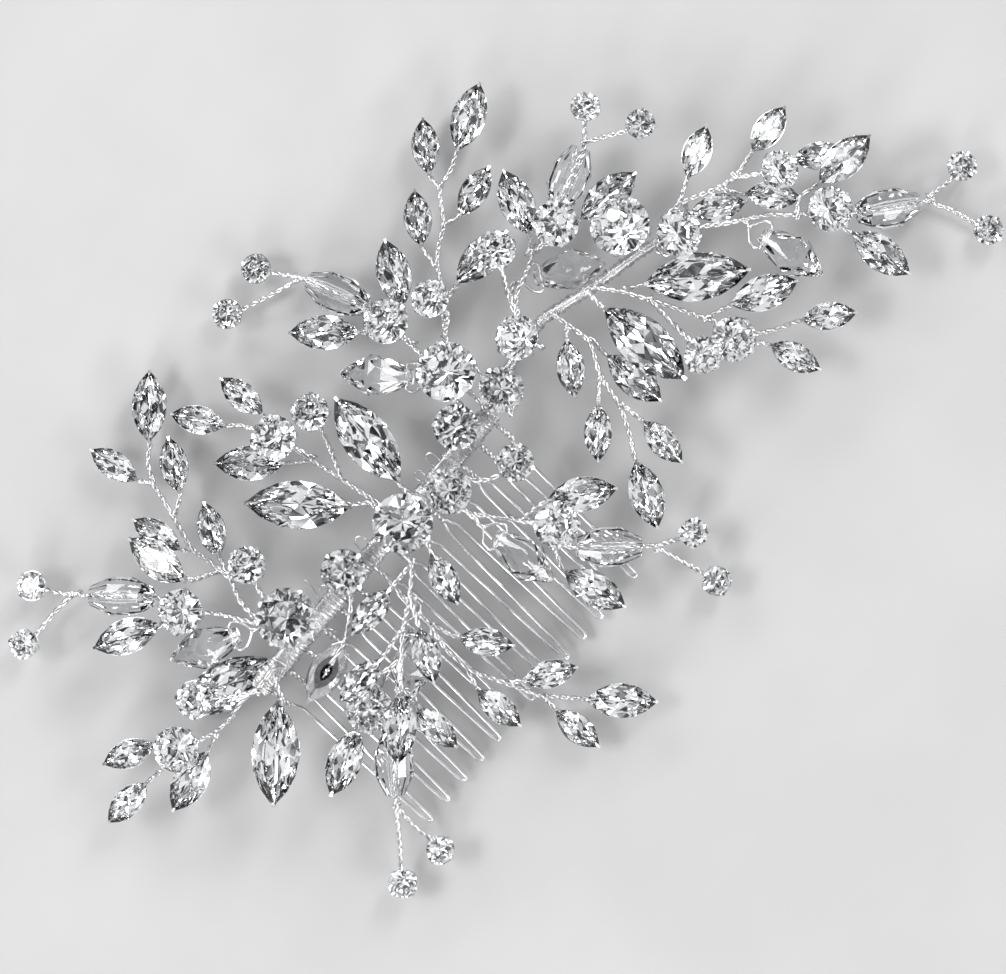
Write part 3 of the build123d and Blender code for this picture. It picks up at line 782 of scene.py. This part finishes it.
wrap = Shape()
for points, _ in solids_of("rail_wrap"):
    low, high = points.min(axis=0), points.max(axis=0)
    under = 2 * CROSS_WIRE
    half_width = high[1] - under - COIL_WIRE + 0.06
    half_height = high[2] - under - COIL_WIRE + 0.06
    start, end = low[0] + COIL_WIRE, high[0] - COIL_WIRE
    add_rail_coil(wrap, start, end, half_width, half_height, COIL_WIRE, COIL_PITCH)
    if end - start > 3:
        outer_width, outer_height = high[1] - CROSS_WIRE, high[2] - CROSS_WIRE
        add_rail_coil(wrap, start, end, outer_width - 0.06, outer_height - 0.06, CROSS_WIRE, 0.62, lean=-1)
        add_rail_coil(wrap, end, start, outer_width + 0.03, outer_height + 0.03, CROSS_WIRE, 1.5, lean=-1)

# Loose loops that stand out of the winding on the side away from the teeth, and cut wire ends
rail_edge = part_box("rail_wrap")[1][1] / MM
LOOP_ROOT = 0.4
# Place along the rail, reach and width of each loop
LOOSE_LOOPS = [
    (14.9, 1.5, 1.1),
    (12.0, 1.1, 0.9),
    (-0.4, 1.6, 1.3),
    (-8.8, 1.0, 0.9),
    (6.5, 0.8, 1.0),
    (19.0, 0.9, 0.8),
]
for x, loop_reach, loop_width in LOOSE_LOOPS:
    path = []
    for k in range(15):
        angle = math.pi * k / 14
        along = x + loop_width / 2 * math.cos(angle) + 0.25 * math.sin(2 * angle)
        out = rail_edge - LOOP_ROOT + (loop_reach + LOOP_ROOT) * math.sin(angle)
        path.append((along, out, 0.35 * math.cos(angle) + 0.3))
    add_tube(wrap, np.array(path), CROSS_WIRE, 7)
WIRE_ENDS = [
    ((-10.2, 2.0, 0.9), (-9.4, 5.0, 1.3)),
    ((-13.0, -1.5, 0.4), (-12.2, -3.0, 0.1)),
    ((9.4, 1.2, 0.8), (9.0, 3.0, 1.1)),
]
for start, end in WIRE_ENDS:
    start, end = np.array(start), np.array(end)
    middle = (start + end) / 2 + np.array([0.25, 0, 0.1])
    add_tube(wrap, resampled(np.array([start, middle, end]), 0.25, 4), CROSS_WIRE, 7)
finish_piece(wrap.build("rail_wire_wrap", [wrap_silver]), "root", "wrap_wire", "rail_wrap")

spine_points, spine_triangles = solids_of("spine_core")[0]
spine_path = resampled(centreline(spine_points, spine_triangles, SPINE_RADIUS), 0.05, 6)
if spine_path[0][0] > spine_path[-1][0]:
    spine_path = spine_path[::-1]
spine_one, spine_two = carried_frames(spine_path)
spine_length = np.concatenate([[0], np.cumsum(np.linalg.norm(np.diff(spine_path, axis=0), axis=1))])


def add_spine_coil(shape, radius, wire, pitch, lean=1, start=0.0, end=1.0):
    """Wire wound round the spine between two shares of its length."""
    low, high = start * spine_length[-1], end * spine_length[-1]
    turns = max(1, round((high - low) / pitch))
    wobble = random.uniform(0, 6)
    path = []
    for k in range(turns * 16 + 1):
        mark = low + (high - low) * k / (turns * 16) + 0.12 * pitch * math.sin(k * 0.31 + wobble)
        mark = min(max(mark, 0), spine_length[-1])
        spot = [np.interp(mark, spine_length, spine_path[:, c]) for c in range(3)]
        nearest = int(np.searchsorted(spine_length, mark).clip(0, len(spine_length) - 1))
        angle = lean * k * 2 * math.pi / 16
        swell = radius * (1 + 0.03 * math.sin(k * 0.11 + wobble))
        out = swell * (math.cos(angle) * spine_one[nearest] + math.sin(angle) * spine_two[nearest])
        path.append(np.array(spot) + out)
    add_tube(shape, np.array(path), wire, 6)


spine_wrap = Shape()
add_spine_coil(spine_wrap, 0.66, COIL_WIRE, COIL_PITCH)
add_spine_coil(spine_wrap, 0.82, CROSS_WIRE, 0.9, lean=-1)
add_spine_coil(spine_wrap, 0.9, CROSS_WIRE, 2.2, lean=1, start=0.04, end=0.97)
finish_piece(spine_wrap.build("spine_wire_wrap", [wrap_silver]), "root", "wrap_wire", "spine_wrap")

for node, material in (("rail_bar", strip_silver), ("spine_core", comb_silver)):
    carried = frame["nodes"][node]
    carried.data.materials.clear()
    carried.data.materials.append(material)


# ---------------------------------------------------------------- studio


def area_light(name, place_mm, size, power, aim=(18.0, -8.0, 0.0)):
    light = bpy.data.lights.new(name, "AREA")
    light.shape = "RECTANGLE"
    light.size, light.size_y = size[0] * MM, size[1] * MM
    light.energy = power
    lamp = bpy.data.objects.new(name, light)
    bpy.context.scene.collection.objects.link(lamp)
    lamp.location = Vector(place_mm) * MM
    way = (Vector(aim) - Vector(place_mm)).normalized()
    lamp.rotation_euler = way.to_track_quat("-Z", "Y").to_euler()
    return lamp


# The floor is in metres, just under the lowest CAD point.
FLOOR_REACH = 4.0
floor_level = cad_bounds[0][2] - 0.00005
floor_mesh = bpy.data.meshes.new("pale_floor")
corners = ((-1, -1), (1, -1), (1, 1), (-1, 1))
floor_points = [(FLOOR_REACH * x, FLOOR_REACH * y, floor_level) for x, y in corners]
floor_mesh.from_pydata(floor_points, [], [(0, 1, 2, 3)])
floor = bpy.data.objects.new("pale_floor", floor_mesh)
bpy.context.scene.collection.objects.link(floor)
paper, nodes, links, shader, coords = node_material("pale_paper")
paper_grain = noise(nodes, links, coords, 40.0)
links.new(
    spread_colour(nodes, links, paper_grain, (0.42, 0.42, 0.425), (0.45, 0.45, 0.455)).outputs["Color"],
    shader.inputs["Base Color"],
)
shader.inputs["Roughness"].default_value = 0.7
floor_mesh.materials.append(paper)

area_light("key_softbox", (-300, 340, 520), (300, 180), 2.2)
area_light("side_softbox", (450, 60, 420), (160, 300), 1.5)
area_light("low_strip", (40, -480, 330), (420, 80), 1.2)
area_light("back_strip", (120, 470, 260), (420, 70), 1.0)
area_light("left_strip", (-430, -120, 300), (80, 320), 1.0)

# Soft bright panels with dark gaps between them, for metal and facets to mirror
world = bpy.data.worlds.new("studio")
bpy.context.scene.world = world
world.use_nodes = True
sky_nodes, sky_links = world.node_tree.nodes, world.node_tree.links
sky_coords = sky_nodes.new("ShaderNodeTexCoord")
panels = sky_nodes.new("ShaderNodeTexNoise")
panels.inputs["Scale"].default_value = 2.6
panels.inputs["Detail"].default_value = 0.6
panels.inputs["Distortion"].default_value = 0.8
panel_ramp = sky_nodes.new("ShaderNodeValToRGB")
sky_links.new(sky_coords.outputs["Generated"], panels.inputs["Vector"])
sky_links.new(panels.outputs["Fac"], panel_ramp.inputs["Fac"])
stops = panel_ramp.color_ramp.elements
stops[0].position, stops[0].color = 0.4, (0.03, 0.03, 0.032, 1)
stops[1].position, stops[1].color = 0.5, (1.0, 1.0, 1.0, 1)
background = sky_nodes["Background"]
sky_links.new(panel_ramp.outputs["Color"], background.inputs["Color"])
background.inputs["Strength"].default_value = 0.95
bpy.context.scene.view_settings.view_transform = "Standard"

lens = bpy.data.cameras.new("overhead")
lens.lens = FOCAL
lens.sensor_width = 36.0
lens.clip_end = 10.0
camera = bpy.data.objects.new("overhead", lens)
camera.location = (VIEW_CENTRE[0] * MM, VIEW_CENTRE[1] * MM, CAMERA_HEIGHT * MM)
camera.rotation_euler = (0, 0, math.radians(VIEW_TURN))
bpy.context.scene.collection.objects.link(camera)
bpy.context.scene.camera = camera
